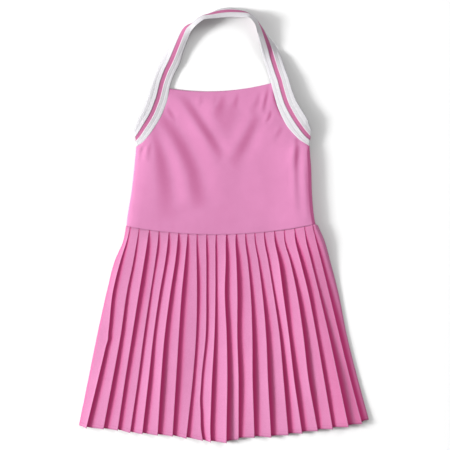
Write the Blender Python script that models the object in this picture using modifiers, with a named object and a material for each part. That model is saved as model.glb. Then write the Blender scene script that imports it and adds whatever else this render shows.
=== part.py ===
"""A girl's halter tennis dress, laid flat and face up.

Frame: x runs to the right as the laid dress is seen from above, y from hem to neck, z up from the
surface. The origin is the middle of the outline, on that surface. Tables and sizes are in
millimetres, as a maker would measure them on the laid dress, and MM turns them into metres.

Every piece is a sheet of cloth: a grid of points on its upper face, given its wall by Solidify.
"""
import bpy
import numpy as np

MM = 0.001

# Cloth walls and the room between pieces
BODICE_WALL = 1.0       # smooth double knit
PLEAT_WALL = 1.0        # twill of the front skirt
PRESSED_WALL = 1.5      # back skirt, its pleats pressed flat under the front
RIB_WALL = 1.6          # ribbed trim, folded double
BACK_TRIM_WALL = 1.5
SEAM = 0.3              # space between two pieces at their seam
INSET = 0.5             # how far the back panels stay inside the front outline

# Heights of upper faces over the surface that the dress lies on
BODICE_EDGE_Z = 2.9     # front bodice along its armholes
BODICE_REST_Z = 4.6     # front bodice away from its edges
BODICE_WAIST_Z = 3.6
BODICE_NECK_Z = 2.2
VALLEY_Z = 3.0          # front skirt between two pleats
WAIST_RISE = 1.2        # pleat edge over its valley, at the waist and at the hem
HEM_RISE = 5.0

# Side seams of the bodice, from waist to underarm. The sag is how far the middle of the row
# hangs below the line between its two ends, and edge_z the height of the front's upper face
# at the seam.
# left_x, left_y, right_x, right_y, sag, edge_z
SIDE_ROWS = (
    (-156.5, -2.0, 148.0, 1.0, 15.0, 2.1),
    (-154.5, 17.5, 142.5, 21.0, 12.0, 2.1),
    (-148.5, 53.0, 140.0, 53.0, 6.0, 2.1),
    (-144.5, 88.0, 139.0, 88.0, 3.0, 2.1),
    (-142.0, 113.0, 137.0, 113.0, 1.0, 2.6),
    (-141.0, 125.0, 136.0, 126.0, 0.0, 2.9),
)
NECKLINE_SAG = 8.5
BODICE_ROWS = 9         # from waist to underarm
BODICE_COLUMNS = 27
EDGE_CROWDING = 1.6     # over 1 draws the columns towards the side seams
SIDE_ROUND = 16.0       # how far in from its edge the front bodice is still rounding up
SAG_POWER = 1.5         # over 1 leaves most of the neckline's sag to its last rows
WAIST_POWER = 10        # the higher, the closer to the seam the bodice is pressed down
NECK_POWER = 5

# Armholes from underarm to neckline: the cut edge of the bodice, and the outer edge of the
# trim that is sewn to it.
# edge_x, edge_y, outer_x, outer_y, outer_z
LEFT_ARMHOLE = (
    (-141.0, 125.0, -143.0, 151.0, 3.9),
    (-130.0, 133.0, -141.5, 159.0, 4.2),
    (-119.5, 145.0, -137.5, 169.5, 4.2),
    (-113.0, 154.5, -133.5, 176.0, 4.0),
    (-106.5, 164.5, -130.0, 183.0, 3.8),
    (-101.0, 174.5, -126.5, 191.5, 3.6),
    (-96.5, 185.0, -123.5, 200.5, 3.4),
    (-92.5, 195.5, -120.5, 209.0, 3.2),
    (-90.0, 206.0, -118.0, 218.0, 3.0),
    (-88.0, 218.5, -114.3, 229.0, 2.8),
)
RIGHT_ARMHOLE = (
    (136.0, 126.0, 139.0, 151.0, 3.9),
    (127.0, 132.0, 138.0, 155.0, 4.4),
    (119.0, 137.5, 136.0, 160.5, 5.0),
    (109.0, 147.5, 131.5, 167.5, 6.0),
    (100.5, 158.0, 126.5, 177.0, 7.0),
    (94.0, 169.0, 121.5, 186.0, 7.5),
    (88.5, 180.5, 117.0, 194.5, 7.5),
    (84.0, 192.0, 113.0, 203.5, 7.0),
    (79.5, 208.0, 108.5, 216.5, 6.3),
    (75.0, 227.0, 103.8, 233.0, 5.5),
)
ARMHOLE_SECTIONS = 15
TRIM_STEP = 1.0         # trim face over the bodice edge that it is sewn to

# The free loop of the trim, from the left end of the neckline over the neck to the right end.
# The band turns from lying flat to standing on its outer edge; the bow is how far its middle
# bulges outwards from the line between its two edges.
# outer_x, outer_y, outer_z, inner_x, inner_y, inner_z, bow
NECK_LOOP = (
    (-114.3, 229.0, 2.8, -88.0, 218.5, 3.9, 0.3),
    (-106.5, 248.5, 2.6, -82.0, 239.5, 6.0, 1.5),
    (-96.5, 268.5, 2.4, -73.5, 258.0, 12.0, 2.5),
    (-85.5, 287.0, 2.0, -66.0, 278.0, 17.0, 3.0),
    (-74.5, 305.0, 1.6, -59.5, 297.5, 21.0, 4.0),
    (-63.5, 314.5, 1.4, -54.5, 309.5, 23.5, 5.0),
    (-47.7, 317.9, 1.2, -48.5, 318.5, 24.0, 6.0),
    (-37.8, 325.0, 1.2, -39.5, 326.0, 24.0, 6.0),
    (-32.0, 330.4, 1.2, -31.5, 329.5, 24.0, 5.0),
    (-24.3, 336.7, 1.2, -22.5, 331.0, 24.0, 4.5),
    (-15.8, 342.9, 1.2, -14.0, 332.0, 23.0, 3.5),
    (-4.5, 347.5, 1.2, -4.0, 333.5, 22.5, 3.0),
    (9.0, 348.5, 1.2, 8.0, 334.5, 22.5, 3.0),
    (21.5, 346.0, 1.2, 20.0, 335.5, 23.0, 3.5),
    (32.8, 340.2, 1.2, 31.0, 335.0, 24.0, 4.5),
    (39.6, 333.3, 1.2, 39.0, 332.5, 24.0, 5.5),
    (46.5, 326.0, 1.2, 46.5, 326.5, 24.0, 5.5),
    (56.0, 318.2, 1.4, 51.0, 318.0, 22.0, 5.0),
    (65.8, 309.1, 1.6, 53.0, 307.0, 18.0, 4.0),
    (75.5, 297.5, 2.2, 55.5, 292.0, 14.0, 3.0),
    (85.0, 285.0, 4.0, 59.5, 276.0, 8.0, 1.5),
    (92.5, 269.0, 6.0, 64.5, 260.0, 5.0, 0.5),
    (98.5, 250.0, 6.0, 70.5, 241.0, 4.2, 0.3),
    (103.8, 233.0, 5.5, 75.0, 227.0, 3.9, 0.3),
)
LOOP_SECTIONS = 47
BAND_POINTS = 6         # points across the band

# The largest drag lines of the front bodice: a straight line, its half width, and its height,
# which is negative for a trough.
# start_x, start_y, end_x, end_y, half_width, height
DRAG_LINES = (
    (-68.5, 207.5, -10.0, 113.0, 11.0, -1.6),
    (-100.0, 169.5, -39.0, 61.5, 13.0, -1.8),
    (-106.0, 125.0, -95.0, 24.0, 12.0, -1.2),
    (71.0, 216.5, 28.0, 125.0, 12.0, -1.5),
    (118.0, 144.0, 131.5, 24.0, 8.0, -1.4),
)
DRAG_ENDS = 0.15        # share of the sine arch that is cut off each end of a drag line

# The soft roll of cloth inside each side seam: its height over the rest, and how far in it lies
LEFT_ROLL = (1.8, 14.0)
RIGHT_ROLL = (3.4, 18.0)
ROLL_POWER = 3          # the higher, the closer to the neckline a roll runs

# The knife pleats of the front skirt, one row for each pressed edge and one for each side
# seam. The columns are the x of that edge at each level down the skirt, then the y of its hem.
LEVELS = (-0.5, -24.5, -56.5, -104.5, -176.5, -248.5, -312.5)
PLEAT_EDGES = (
    (-157.0, -161.5, -175.0, -187.5, -203.5, -218.0, -231.0, -320.0),
    (-150.5, -156.5, -166.5, -178.5, -187.0, -203.0, -218.5, -325.0),
    (-136.5, -140.5, -146.0, -156.0, -166.5, -179.5, -191.5, -326.5),
    (-120.5, -123.5, -128.5, -136.5, -148.0, -159.5, -169.0, -328.5),
    (-105.5, -107.0, -111.0, -118.5, -129.5, -139.0, -148.5, -332.5),
    (-89.5, -91.0, -95.0, -103.5, -114.0, -122.0, -129.5, -334.5),
    (-74.0, -75.5, -79.0, -86.5, -96.0, -102.0, -106.0, -336.5),
    (-59.0, -60.5, -63.5, -68.5, -73.5, -78.0, -82.0, -338.0),
    (-44.5, -45.5, -45.0, -44.5, -46.0, -51.5, -58.5, -341.5),
    (-29.0, -30.0, -29.5, -29.5, -30.5, -37.5, -38.5, -345.0),
    (-13.5, -15.0, -15.0, -15.0, -16.5, -20.5, -23.0, -347.5),
    (2.5, 1.5, 1.5, 0.0, 3.0, 4.0, 3.0, -348.5),
    (18.0, 17.0, 18.5, 20.0, 20.0, 22.0, 22.0, -343.0),
    (32.5, 32.5, 36.5, 41.0, 44.0, 44.5, 46.5, -340.0),
    (47.0, 47.5, 53.0, 59.5, 66.0, 69.0, 72.5, -340.0),
    (62.0, 63.0, 69.0, 77.0, 87.5, 94.0, 99.5, -336.0),
    (78.0, 79.5, 86.0, 92.5, 102.5, 111.0, 120.5, -333.5),
    (94.0, 95.0, 104.0, 114.5, 125.5, 134.0, 145.5, -329.5),
    (110.5, 112.5, 120.5, 132.5, 146.5, 159.0, 170.0, -326.5),
    (126.5, 129.5, 137.5, 149.5, 166.5, 182.0, 195.5, -323.0),
    (140.0, 145.0, 153.5, 165.5, 183.0, 201.0, 218.0, -318.0),
    (149.5, 160.0, 169.0, 181.5, 196.0, 214.0, 231.5, -311.0),
)
PLEAT_LEAN = 0.4        # valley to the right of the pleat edge above it
HEM_NOTCH = 2.5         # how much shorter the valley hangs than the pleat's tip
FACE_CROWN = 0.55       # height of the middle of a pleat's face, as a share of its edge
OPENING_POWER = 0.7     # under 1 opens the pleats soon below the waist
SKIRT_ROWS = 14

# The back, which is hidden under the front
BACK_HEM_RISE = 2.0     # back hem above the front one
BACK_ROWS = 9
BACK_SCOOP = 12.0       # how far its top edge dips at the middle
BACK_TRIM_WIDTH = 26.0
BACK_COLUMNS = 19

PINK_KNIT = (0.74, 0.27, 0.50)
PINK_TWILL = (0.80, 0.30, 0.56)
WHITE_RIB = (0.90, 0.89, 0.90)


def clear_scene():
    for item in list(bpy.data.objects):
        bpy.data.objects.remove(item, do_unlink=True)


def smooth(rows, count):
    """Read a table at `count` even steps from its first row to its last, on a cubic curve
    through every row whose slope at a row is the mean of the steps on its two sides."""
    rows = np.array(rows, float)
    slope = np.gradient(rows, axis=0)
    place = np.linspace(0, len(rows) - 1, count)
    low = np.minimum(place.astype(int), len(rows) - 2)
    part = (place - low)[:, None]
    rest = 1 - part
    return (
        rows[low] * (1 + 2 * part) * rest**2 + slope[low] * part * rest**2
        + rows[low + 1] * part**2 * (3 - 2 * part) - slope[low + 1] * part**2 * rest
    )


def material(name, colour, roughness):
    made = bpy.data.materials.new(name)
    made.use_nodes = True
    shader = made.node_tree.nodes["Principled BSDF"]
    shader.inputs["Base Color"].default_value = (*colour, 1.0)
    shader.inputs["Roughness"].default_value = roughness
    shader.inputs["Metallic"].default_value = 0.0
    return made


def cloth(name, grid, wall, finish, collection):
    """A sheet whose upper face is the grid (rows towards the neck, columns to the right),
    with its wall below that face."""
    rows, columns = grid.shape[:2]
    number = np.arange(rows * columns).reshape(rows, columns)
    corners = (number[:-1, :-1], number[:-1, 1:], number[1:, 1:], number[1:, :-1])
    quads = np.stack(corners, axis=-1).reshape(-1, 4)
    mesh = bpy.data.meshes.new(name)
    mesh.from_pydata((grid.reshape(-1, 3) * MM).tolist(), [], quads.tolist())
    mesh.materials.append(finish)
    mesh.shade_smooth()
    piece = bpy.data.objects.new(name, mesh)
    collection.objects.link(piece)
    solid = piece.modifiers.new("Cloth wall", "SOLIDIFY")
    solid.thickness = wall * MM
    solid.offset = -1.0
    solid.use_even_offset = True
    return piece


def seam_y(x):
    """Height of the waist seam at x: a parabola through both ends of the lowest bodice row."""
    left_x, left_y, right_x, right_y, sag, _ = SIDE_ROWS[0]
    along = (x - left_x) / (right_x - left_x)
    return left_y + (right_y - left_y) * along - 4 * sag * along * (1 - along)


def distance_to_line(x, y, start, end):
    """Distance from each point to the straight line between two points, and how far along
    the line its nearest point is, from 0 to 1."""
    run = np.subtract(end, start)
    along = np.clip(((x - start[0]) * run[0] + (y - start[1]) * run[1]) / (run @ run), 0, 1)
    return np.hypot(x - start[0] - along * run[0], y - start[1] - along * run[1]), along


def quarter_round(distance, radius):
    """0 at an edge and 1 from `radius` inwards, rising as a quarter of an ellipse."""
    inwards = np.clip(distance / radius, 0, 1)
    return np.sqrt(1 - (1 - inwards) ** 2)


def edge_spacing(columns, tightness):
    """Places from 0 to 1, closer together towards both ends."""
    even = np.linspace(-1, 1, columns)
    return 0.5 + 0.5 * np.sign(even) * (1 - (1 - np.abs(even)) ** tightness)


def bodice_height(x, y, to_left, to_right, up, edge_z):
    """Upper face of the front bodice: the resting height with a roll inside each side seam
    and the drag lines, pressed down towards waist and neckline and rounded off at the sides."""
    rest = np.full_like(x, BODICE_REST_Z)
    for distance, (height, inwards) in ((to_left, LEFT_ROLL), (to_right, RIGHT_ROLL)):
        roll = np.exp(-(((distance - inwards) / inwards) ** 2))
        rest += height * roll * (1 - up**ROLL_POWER)
    for start_x, start_y, end_x, end_y, half_width, height in DRAG_LINES:
        away, along = distance_to_line(x, y, (start_x, start_y), (end_x, end_y))
        fade = np.sin(np.pi * (DRAG_ENDS + (1 - 2 * DRAG_ENDS) * along))
        rest += height * fade * np.exp(-((away / half_width) ** 2))
    rest += (BODICE_WAIST_Z - rest) * (1 - up) ** WAIST_POWER
    rest += (BODICE_NECK_Z - rest) * up**NECK_POWER
    sides = quarter_round(to_left, SIDE_ROUND) * quarter_round(to_right, SIDE_ROUND)
    return edge_z + (rest - edge_z) * sides


def front_bodice():
    """Rows from waist to underarm lie between the side seams, and from there to the neckline
    between the armholes. Each row sags in its middle."""
    lower = smooth(SIDE_ROWS, BODICE_ROWS)
    left = smooth(LEFT_ARMHOLE, ARMHOLE_SECTIONS)[1:]
    right = smooth(RIGHT_ARMHOLE, ARMHOLE_SECTIONS)[1:]
    sag = NECKLINE_SAG * np.linspace(0, 1, len(left)) ** SAG_POWER
    edge_z = np.full(len(left), BODICE_EDGE_Z)
    upper = np.column_stack([left[:, :2], right[:, :2], sag, edge_z])
    left_x, left_y, right_x, right_y, sag, edge_z = np.vstack([lower, upper]).T[:, :, None]
    across = edge_spacing(BODICE_COLUMNS, EDGE_CROWDING)[None, :]
    x = left_x + (right_x - left_x) * across
    y = left_y + (right_y - left_y) * across - 4 * sag * across * (1 - across)
    up = (np.arange(len(left_x)) / (len(left_x) - 1))[:, None] * np.ones_like(across)
    z = bodice_height(x, y, x - left_x, right_x - x, up, edge_z)
    return np.stack([x, y, z], axis=-1)


def edge_x(edge, y):
    """The x of a pleat edge at height y: cubic between its levels, steady above the first
    level and straight on below the last."""
    levels = np.array(LEVELS)
    places = np.array(PLEAT_EDGES[edge][:-1])
    slope = np.gradient(places, levels)
    slope[0] = (places[1] - places[0]) / (levels[1] - levels[0])
    held = np.minimum(y, levels[0])
    step = np.clip(np.searchsorted(-levels, -held) - 1, 0, len(levels) - 2)
    width = levels[step + 1] - levels[step]
    part = (held - levels[step]) / width
    inside = np.clip(part, 0, 1)
    rest = 1 - inside
    curve = (
        places[step] * (1 + 2 * inside) * rest**2 + slope[step] * width * inside * rest**2
        + places[step + 1] * inside**2 * (3 - 2 * inside)
        - slope[step + 1] * width * inside**2 * rest
    )
    return curve + slope[-1] * np.minimum(y - levels[-1], 0)


def skirt_column(low_edge, part, shift, hem_lift, down):
    """One line of points from waist to hem, a share `part` of the way from one pleat edge to
    the next, moved right by `shift`."""
    def x_at(y):
        near, far = edge_x(low_edge, y), edge_x(min(low_edge + 1, len(PLEAT_EDGES) - 1), y)
        return near + (far - near) * part + shift

    hems = [row[-1] for row in PLEAT_EDGES]
    top = seam_y(x_at(np.zeros(1))) - SEAM
    hem = np.interp(low_edge + part, np.arange(len(hems)), hems) + hem_lift
    y = top + (hem - top) * down
    return np.stack([x_at(y), y], axis=-1)


def front_skirt():
    """A saw-tooth of knife pleats: each face rises from its valley to its pressed edge on the
    right, then drops to the next valley."""
    down = np.linspace(0, 1, SKIRT_ROWS)
    rise = WAIST_RISE + (HEM_RISE - WAIST_RISE) * down**OPENING_POWER
    pleats = len(PLEAT_EDGES) - 1
    columns = []
    for pleat in range(pleats):
        last = pleat == pleats - 1
        valley = 0.0 if pleat == 0 else PLEAT_LEAN
        heights = (0.0, FACE_CROWN, 0.0 if last else 1.0)
        for part, height in zip((0.0, 0.5, 1.0), heights):
            lift = HEM_NOTCH * (1 - part) * (pleat > 0)
            shift = valley * (1 - part)
            line = skirt_column(pleat, part, shift, lift, down)
            columns.append(np.column_stack([line, VALLEY_Z + rise * height]))
    return np.stack(columns, axis=1)[::-1]


def back_skirt():
    """A flat plate under the front skirt, inside its outline. Round the body its pleats turn
    the same way as the front ones, so from the front each tip of its hem is on the left."""
    down = np.linspace(0, 1, BACK_ROWS)
    pleats = len(PLEAT_EDGES) - 1
    columns = []
    for pleat in range(pleats):
        start = PLEAT_LEAN if pleat else INSET
        end = 0.0 if pleat < pleats - 1 else -INSET
        for part, shift, notch in ((0.0, start, 0.0), (1.0, end, HEM_NOTCH)):
            line = skirt_column(pleat, part, shift, BACK_HEM_RISE + notch, down)
            columns.append(np.column_stack([line, np.full(len(down), PRESSED_WALL)]))
    return np.stack(columns, axis=1)[::-1]


def back_top_y(across):
    """The seam between back bodice and back trim, dipping from the underarms to the middle."""
    return SIDE_ROWS[-1][1] - 4 * BACK_SCOOP * across * (1 - across)


def back_bodice():
    """A flat plate from the waist seam to the scooped top edge, inside the front outline."""
    rows = smooth(SIDE_ROWS, BACK_ROWS)
    across = np.linspace(0, 1, BACK_COLUMNS)[None, :]
    left = rows[:, 0:1] + INSET
    right = rows[:, 2:3] - INSET
    x = left + (right - left) * across
    bottom = seam_y(x[:1])
    top = back_top_y(across) - SEAM
    part = ((rows[:, 1] - rows[0, 1]) / (rows[-1, 1] - rows[0, 1]))[:, None]
    y = bottom + (top - bottom) * part
    return np.stack([x, y, np.full_like(x, BODICE_WALL)], axis=-1)


def back_trim():
    """The rest of the ribbed trim, along the top edge of the back from side to side."""
    across = np.linspace(0, 1, BACK_COLUMNS)[None, :]
    up = np.linspace(0, 1, 3)[:, None]
    left = LEFT_ARMHOLE[0][0] + (LEFT_ARMHOLE[0][2] - LEFT_ARMHOLE[0][0]) * up + INSET
    right = RIGHT_ARMHOLE[0][0] + (RIGHT_ARMHOLE[0][2] - RIGHT_ARMHOLE[0][0]) * up - INSET
    x = left + (right - left) * across
    y = back_top_y(across) + (BACK_TRIM_WIDTH - SEAM) * up
    return np.stack([x, y, np.full_like(x, BACK_TRIM_WALL)], axis=-1)


def band_sections(armhole):
    """Trim sections along an armhole, with the columns of NECK_LOOP: the inner edge stands off
    the cut edge of the bodice by the seam."""
    edge_x, edge_y, outer_x, outer_y, outer_z = smooth(armhole, ARMHOLE_SECTIONS).T
    share = SEAM / np.hypot(outer_x - edge_x, outer_y - edge_y)
    inner_x = edge_x + (outer_x - edge_x) * share
    inner_y = edge_y + (outer_y - edge_y) * share
    inner_z = np.full_like(edge_x, BODICE_EDGE_Z + TRIM_STEP)
    bow = np.full_like(edge_x, NECK_LOOP[0][-1])
    return np.column_stack([outer_x, outer_y, outer_z, inner_x, inner_y, inner_z, bow])


def halter_trim():
    """The band from the left underarm over the neck to the right one. Across the band each
    section is a line from its outer edge to its inner edge, bowed outwards as a parabola."""
    loop = smooth(NECK_LOOP, LOOP_SECTIONS)[1:-1]
    sections = np.vstack([band_sections(LEFT_ARMHOLE), loop, band_sections(RIGHT_ARMHOLE)[::-1]])
    outer = sections[:, None, 0:3]
    inner = sections[:, None, 3:6]
    bow = sections[:, None, 6:7]
    chord = inner - outer
    length = np.linalg.norm(chord, axis=-1, keepdims=True)
    heading = outward_heading(sections)[:, None, :]
    lean = np.sum(chord[..., :2] * heading, axis=-1, keepdims=True)
    outwards = np.concatenate([-heading * chord[..., 2:3], lean], axis=-1) / length
    part = np.linspace(0, 1, BAND_POINTS)[None, :, None]
    return outer + chord * part + outwards * bow * 4 * part * (1 - part)


def outward_heading(sections):
    """Unit vectors across the band, from outer edge to inner edge, at right angles to its path."""
    middle = (sections[:, 0:2] + sections[:, 3:5]) / 2
    path = np.gradient(middle, axis=0)
    path /= np.linalg.norm(path, axis=1, keepdims=True)
    return np.column_stack([path[:, 1], -path[:, 0]])


def build_dress():
    clear_scene()
    collection = bpy.data.collections.new("tennis_dress")
    bpy.context.scene.collection.children.link(collection)
    knit = material("pink_knit", PINK_KNIT, 0.55)
    twill = material("pink_twill", PINK_TWILL, 0.75)
    rib = material("white_rib", WHITE_RIB, 0.8)
    cloth("bodice_back", back_bodice(), BODICE_WALL, knit, collection)
    cloth("skirt_back", back_skirt(), PRESSED_WALL, twill, collection)
    cloth("back_trim", back_trim(), BACK_TRIM_WALL, rib, collection)
    cloth("bodice_front", front_bodice(), BODICE_WALL, knit, collection)
    cloth("skirt_front", front_skirt(), PLEAT_WALL, twill, collection)
    cloth("halter_trim", halter_trim(), RIB_WALL, rib, collection)


build_dress()
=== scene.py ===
"""The looks of a girl's halter tennis dress, laid flat and face up on a pale table.

Tables and sizes are in millimetres, as a maker would measure them on the laid dress: x to the
right, y from hem to neck, z up from the table. MM turns them into metres. A panel is a grid of
points on its outer face, rows towards the neck and columns to the right, and Solidify gives it
the thickness of its cloth.
"""

import bpy
import numpy as np
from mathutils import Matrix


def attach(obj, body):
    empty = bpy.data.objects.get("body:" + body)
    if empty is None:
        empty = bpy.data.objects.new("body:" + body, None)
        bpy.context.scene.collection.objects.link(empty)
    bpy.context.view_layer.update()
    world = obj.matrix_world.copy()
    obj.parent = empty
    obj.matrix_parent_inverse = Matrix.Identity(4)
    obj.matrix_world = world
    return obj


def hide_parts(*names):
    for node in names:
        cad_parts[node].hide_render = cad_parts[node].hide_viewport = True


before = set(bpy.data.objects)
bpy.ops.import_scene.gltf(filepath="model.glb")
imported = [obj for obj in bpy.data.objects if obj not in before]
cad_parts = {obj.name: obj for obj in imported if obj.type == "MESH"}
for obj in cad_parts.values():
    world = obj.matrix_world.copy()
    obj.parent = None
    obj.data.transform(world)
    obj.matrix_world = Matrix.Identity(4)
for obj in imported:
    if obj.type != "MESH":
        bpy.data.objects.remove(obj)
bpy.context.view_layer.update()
scene = bpy.context.scene
MM = 0.001


# ---- Camera: straight above the dress. The long lens keeps the raised strap at its true size.
VIEW_WIDTH = 720.0       # across the picture, at the table
VIEW_CENTRE_X = 1.0
LENS = 300.0
SENSOR = 36.0
eye = bpy.data.cameras.new("camera")
eye.lens = LENS
eye.sensor_width = SENSOR
camera = bpy.data.objects.new("camera", eye)
camera.location = (VIEW_CENTRE_X * MM, 0, VIEW_WIDTH * LENS / SENSOR * MM)
scene.collection.objects.link(camera)
scene.camera = camera


# ---- Front bodice: one panel of smooth pink double knit with a slight sheen, turned in at the
# neckline. It lies over the back bodice, with a roll of cloth along its right side, and drag
# lines run from the two ends of the neckline towards the middle of the chest.
BODICE_WALL = 0.9
CHEST_Z = 7.0            # outer face in the open middle
WAIST_Z = 6.0            # at the waist seam
WAIST_FADE = 9.0         # how far up from that seam it mostly gets to the chest's height
NECKLINE_Z = 3.0         # at the neckline
NECKLINE_FADE = 14.0     # how far down from there it mostly gets to the chest's height
SIDE_SEAM_Z = 2.0        # along the side seams
UNDERARM_RISE = 14.0     # the side seams rise to the ends of the armholes over this length
# At both of these edges the outer face turns down by a drop, over a radius.
# drop, radius
WAIST_TURN = (0.3, 0.9)
NECKLINE_TURN = (0.8, 1.6)

# Side seams from waist to underarm. The sag is how far the middle of a row hangs below the line
# between its two ends.
# left_x, left_y, right_x, right_y, sag
SIDE_ROWS = (
    (-156.5, -2.0, 145.6, 1.0, 15.0),
    (-154.5, 17.5, 142.5, 21.0, 12.0),
    (-148.5, 53.0, 140.0, 53.0, 6.0),
    (-144.5, 88.0, 139.0, 88.0, 3.0),
    (-142.0, 113.0, 137.0, 113.0, 1.0),
    (-141.0, 125.0, 136.0, 126.0, 0.0),
)
# Armholes from underarm to neckline: the sewn edge of the bodice and the outer edge of the trim.
# edge_x, edge_y, edge_z, outer_x, outer_y, outer_z
LEFT_ARMHOLE = (
    (-141.0, 125.0, 2.6, -143.0, 151.0, 4.0),
    (-130.0, 133.0, 6.0, -141.5, 159.0, 5.0),
    (-119.5, 145.0, 7.8, -137.5, 169.5, 6.0),
    (-113.0, 154.5, 8.2, -133.5, 176.0, 6.4),
    (-106.5, 164.5, 7.8, -130.0, 183.0, 6.0),
    (-101.0, 174.5, 7.0, -126.5, 191.5, 5.4),
    (-96.5, 185.0, 6.2, -123.5, 200.5, 5.0),
    (-92.5, 195.5, 5.4, -120.5, 209.0, 4.4),
    (-90.0, 206.0, 4.6, -118.0, 218.0, 3.8),
    (-88.0, 218.5, 3.6, -114.3, 229.0, 3.2),
)
RIGHT_ARMHOLE = (
    (136.0, 126.0, 9.5, 139.0, 151.0, 11.5),
    (134.0, 127.3, 10.8, 139.0, 152.0, 12.0),
    (127.0, 132.0, 11.2, 138.0, 155.0, 12.5),
    (119.0, 137.5, 10.4, 136.0, 160.5, 13.5),
    (109.0, 147.5, 9.0, 133.2, 167.5, 15.0),
    (100.5, 158.0, 7.8, 128.0, 177.0, 15.0),
    (94.0, 169.0, 6.8, 122.3, 186.0, 14.5),
    (88.5, 180.5, 6.0, 117.2, 194.5, 14.0),
    (84.0, 192.0, 5.5, 112.8, 203.5, 13.5),
    (79.5, 208.0, 5.0, 108.0, 216.5, 13.0),
    (75.0, 227.0, 4.4, 103.2, 233.0, 12.5),
)
NECKLINE_SAG = 8.5
SAG_POWER = 1.5          # over 1 leaves most of that sag to the rows near the neckline
LOWER_ROWS = 60          # from waist to underarm
UPPER_ROWS = 60          # from underarm to neckline
BODICE_COLUMNS = 150
EDGE_CROWDING = 1.5      # over 1 draws the columns towards the side seams

# The roll along each side, which hardly shows at the left: its height over the chest, how far in
# its crest is, and how far in from the seam the cloth is still rounding up.
# height, crest, round
LEFT_ROLL = (0.4, 26.0, 22.0)
RIGHT_ROLL = (7.2, 9.0, 5.6)
ROLL_WIDTH = 42.0        # half width of a roll on its inner side
ROLL_FADE_START = 105.0  # y from which the rolls fade out, and y at which they are gone
ROLL_FADE_END = 165.0

# Drag lines and puckers, each a soft drop from its left side to its right side in this view:
# three points of its path, which runs towards the hem, its half width at the start and at the
# end, and the height of the drop.
# x1, y1, x2, y2, x3, y3, start_width, end_width, drop
DRAGS = (
    (-76.0, 218.0, -32.0, 153.0, -2.0, 104.0, 8.0, 9.0, 3.2),
    (-112.0, 182.0, -63.0, 112.0, -36.0, 26.0, 11.0, 17.0, 4.6),
    (-118.0, 158.0, -99.0, 95.0, -90.0, 6.0, 9.0, 20.0, 3.8),
    (54.0, 180.0, 36.0, 139.0, 10.0, 94.0, 9.0, 11.0, 2.8),
    (8.0, 216.0, 4.0, 180.0, -10.0, 130.0, 18.0, 24.0, 2.6),
    (30.0, 90.0, 44.0, 50.0, 60.0, 6.0, 24.0, 30.0, -1.6),
    (71.0, 226.0, 66.0, 202.0, 61.0, 180.0, 3.0, 4.0, 1.4),
    (74.0, 184.0, 71.0, 172.0, 64.0, 163.0, 3.0, 3.0, 1.0),
    (117.0, 150.0, 114.5, 95.0, 118.0, 14.0, 4.0, 5.0, 1.3),
    (-123.0, 137.0, -129.0, 126.0, -138.0, 115.0, 3.0, 3.4, 1.0),
    (-35.0, 216.0, -37.0, 202.0, -41.0, 188.0, 3.2, 4.0, 0.8),
    (0.0, 216.0, -6.0, 196.0, -16.0, 168.0, 5.0, 9.0, 1.4),
    (-93.0, 192.0, -86.0, 178.0, -77.0, 170.0, 4.0, 4.0, 1.0),
    (-62.0, 78.0, -50.0, 50.0, -46.0, 22.0, 12.0, 16.0, 1.2),
    (118.0, 128.0, 116.0, 112.0, 110.0, 86.0, 5.0, 8.0, 1.6),
    (56.0, 214.0, 52.0, 196.0, 40.0, 176.0, 4.0, 7.0, 1.0),
    (-14.0, 216.0, -15.0, 204.0, -20.0, 190.0, 2.6, 4.0, 0.8),
    (22.0, 217.0, 20.0, 203.0, 14.0, 186.0, 2.8, 5.0, 0.9),
    (-132.0, 128.0, -134.0, 116.0, -136.0, 100.0, 2.4, 3.0, 0.7),
    (-118.0, 134.0, -121.0, 120.0, -122.0, 98.0, 3.0, 5.0, 1.0),
    (92.0, 158.0, 86.0, 146.0, 76.0, 134.0, 3.4, 5.0, 0.8),
    (132.0, 122.0, 133.5, 60.0, 137.5, 4.0, 4.5, 5.0, 1.1),
)
DRAG_FADE = 0.7          # under 1 lets a drag line keep its height nearer to its two ends
PUCKER_HEIGHT = 0.12     # of the fine puckers just above the waist seam, which are two waves
PUCKER_WAVES = (2.9, 1.7)  # their wavelengths over 2 pi
SECOND_WAVE = 0.6        # height of the second one as a share of the first
FOLD_PAINTED_SHADE = 1.3         # painted shade: how much a fold's slope away from the lamp deepens its colour
# the deepest that this painted shade in the folds goes
DEEPEST_PAINTED_FOLD_SHADE = 0.5


def through(knots, values, at):
    """A cubic curve through the values at the knots, with the slope at a knot taken from its
    neighbours. It stays level before the first knot and runs straight on past the last."""
    values = np.array(values, float)
    knots = np.array(knots, float)
    slope = np.gradient(values, knots, axis=0)
    held = np.clip(at, knots[0], knots[-1])
    low = np.clip(np.searchsorted(knots, held) - 1, 0, len(knots) - 2)
    step = knots[low + 1] - knots[low]
    part = (held - knots[low]) / step
    past = np.maximum(at - knots[-1], 0)
    if values.ndim == 2:
        step, part, past = step[:, None], part[:, None], past[:, None]
    rest = 1 - part
    return (
        values[low] * (1 + 2 * part) * rest**2 + slope[low] * step * part * rest**2
        + values[low + 1] * part**2 * (3 - 2 * part) - slope[low + 1] * step * part**2 * rest
        + slope[-1] * past
    )


def table_rows(rows, count):
    """Read a table at even steps from first to last row: a cubic through every row, whose slope
    at a row is the mean of the steps on its two sides."""
    rows = np.array(rows, float)
    return through(np.arange(len(rows)), rows, np.linspace(0, len(rows) - 1, count))


def smooth_step(part):
    """0 up to 0 and 1 from 1 on, with a cubic between them that is level at both ends."""
    part = np.clip(part, 0, 1)
    return part**2 * (3 - 2 * part)


def waist_seam_y(x):
    """The waist seam: a parabola through the two ends of the lowest side row."""
    left_x, left_y, right_x, right_y, sag = SIDE_ROWS[0]
    along = (x - left_x) / (right_x - left_x)
    return left_y + (right_y - left_y) * along - 4 * sag * along * (1 - along)


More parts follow.
